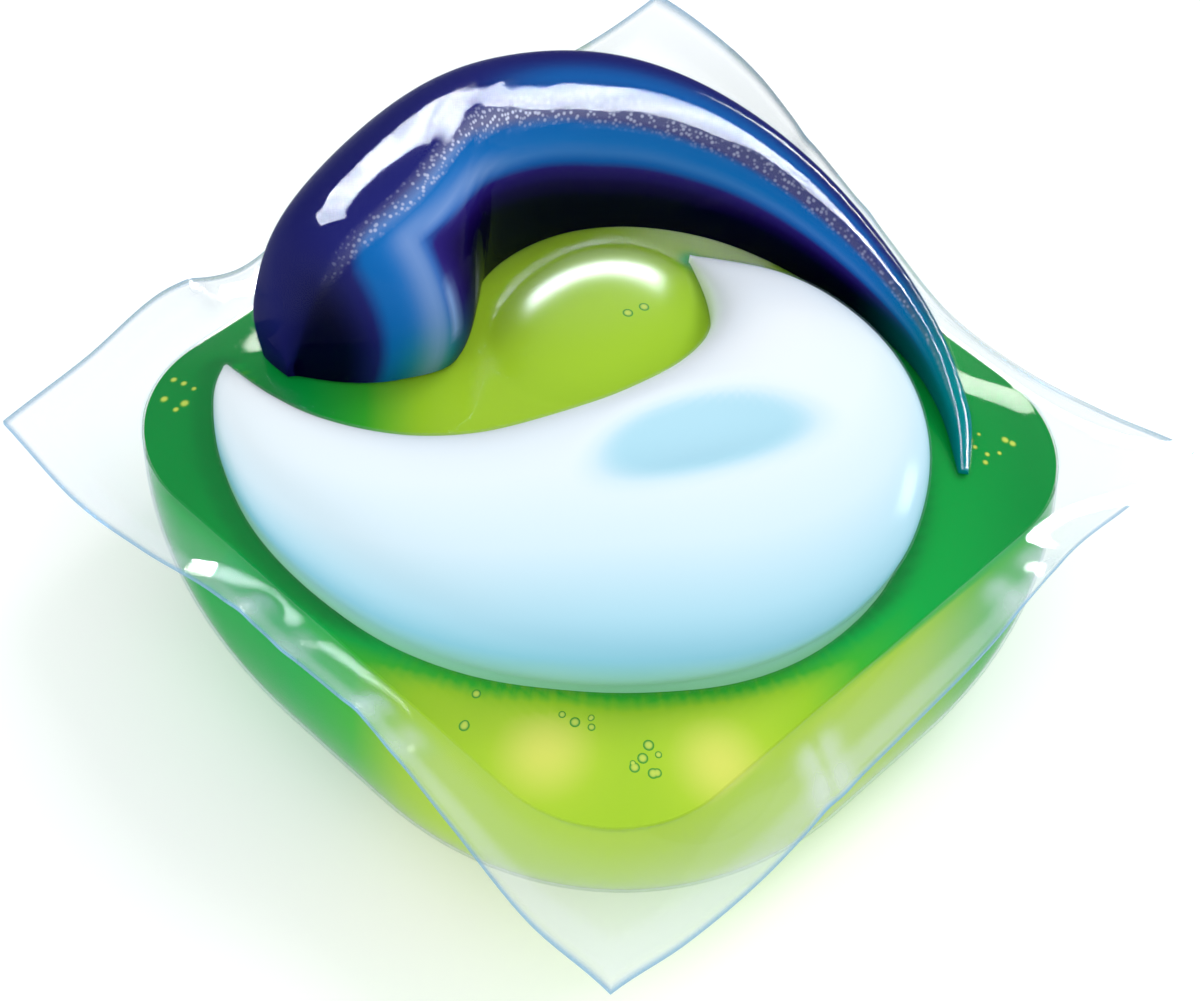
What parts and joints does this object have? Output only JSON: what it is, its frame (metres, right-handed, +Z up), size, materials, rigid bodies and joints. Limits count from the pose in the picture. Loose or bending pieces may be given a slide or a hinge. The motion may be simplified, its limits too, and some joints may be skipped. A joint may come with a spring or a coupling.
{
  "type": "laundry capsule",
  "caption": "Square laundry capsule in clear film: a deep lower pocket of green liquid under a swirl of two raised chambers, blue and white, with a wavy sealed flange.",
  "frame": {"origin": "centre of the flange's outline seen from above, at the level of the flat foot", "axes": "+Z up, away from the foot; the pocket's sides lie along X and Y; the raised corner of the flange is towards -X and +Y"},
  "size_m": [0.0464, 0.0464, 0.0278],
  "materials": {
    "clear_film": "glossy",
    "green_gel": "glossy",
    "blue_gel": "glossy",
    "white_gel": "glossy"
  },
  "bodies": {
    "root": {"lower_film": "clear_film", "green_liquid": "green_gel", "middle_film": "clear_film", "blue_liquid": "blue_gel", "white_liquid": "white_gel", "upper_film": "clear_film"}
  },
  "joints": []
}
